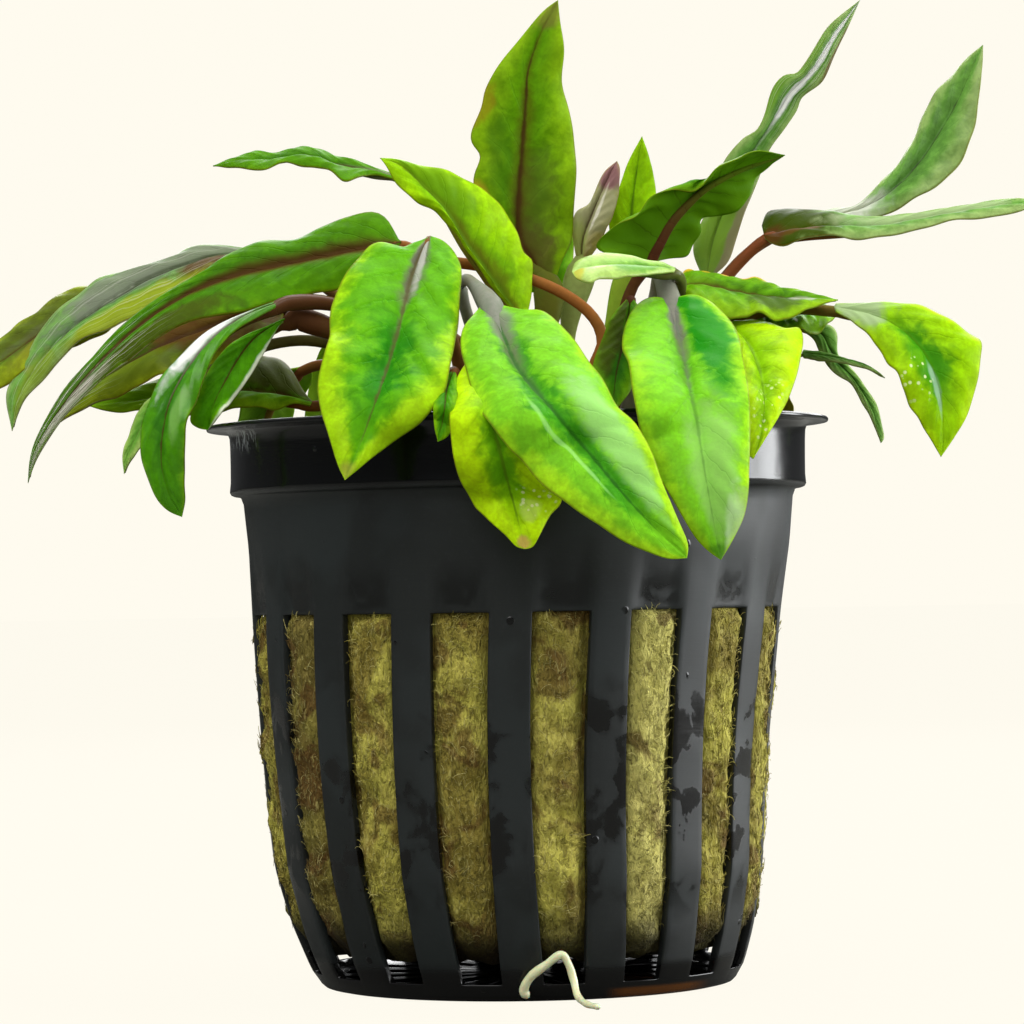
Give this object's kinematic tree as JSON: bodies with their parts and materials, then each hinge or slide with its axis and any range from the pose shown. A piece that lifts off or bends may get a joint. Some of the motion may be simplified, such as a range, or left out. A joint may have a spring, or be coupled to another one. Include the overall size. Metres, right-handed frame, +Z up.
{
  "type": "potted cryptocoryne",
  "caption": "Bushy aquarium plant with lance-shaped leaves, in a slotted net pot packed with rock wool.",
  "frame": {"origin": "centre of the pot's base, on the surface it stands on", "axes": "+Z up along the pot's axis; -Y towards the front, where the root hangs out of a slot; +X to the right"},
  "size_m": [0.0963, 0.0673, 0.0864],
  "materials": {
    "pot": "semi-gloss black, wet in places",
    "wool": "matted mineral fibres, wet",
    "crown": "rough, wet",
    "root": "smooth, wet, slightly translucent",
    "leaf_green": "wet gloss, translucent",
    "leaf_lime": "wet gloss, translucent",
    "leaf_pale": "wet gloss, translucent",
    "leaf_olive": "wet gloss, translucent",
    "leaf_gray": "wet gloss, translucent",
    "leaf_brown": "wet gloss, translucent"
  },
  "bodies": {
    "root": {"crown_left": "crown", "crown_rear_left": "crown", "crown_rear_right": "crown", "crown_right": "crown", "leaf_back_centre": "leaf_lime", "leaf_back_far_left": "leaf_green", "leaf_back_far_right": "leaf_olive", "leaf_back_left": "leaf_green", "leaf_back_right": "leaf_green", "leaf_back_upright": "leaf_green", "leaf_behind_front_left": "leaf_green", "leaf_dark_middle": "leaf_green", "leaf_dark_rib_right": "leaf_green", "leaf_dark_right": "leaf_green", "leaf_far_left": "leaf_olive", "leaf_foreshortened": "leaf_pale", "leaf_front_centre": "leaf_green", "leaf_front_left": "leaf_green", "leaf_front_lime": "leaf_lime", "leaf_front_right": "leaf_green", "leaf_gray_green_right": "leaf_gray", "leaf_gray_left": "leaf_gray", "leaf_hanging_left": "leaf_green", "leaf_hanging_right": "leaf_lime", "leaf_level_right": "leaf_green", "leaf_lime_arching": "leaf_lime", "leaf_lime_bud": "leaf_lime", "leaf_lime_right": "leaf_lime", "leaf_long_left": "leaf_green", "leaf_olive_left": "leaf_olive", "leaf_olive_right": "leaf_olive", "leaf_pale_bud": "leaf_brown", "leaf_rim_left": "leaf_green", "leaf_short_left": "leaf_green", "leaf_small_hanging_left": "leaf_gray", "leaf_tall_centre": "leaf_green", "leaf_tall_right": "leaf_green", "leaf_thin_upper_left": "leaf_green", "leaf_twisted_right": "leaf_green", "leaf_whisker_right": "leaf_green", "pot": "pot", "rock_wool": "wool", "root": "root"}
  },
  "joints": []
}
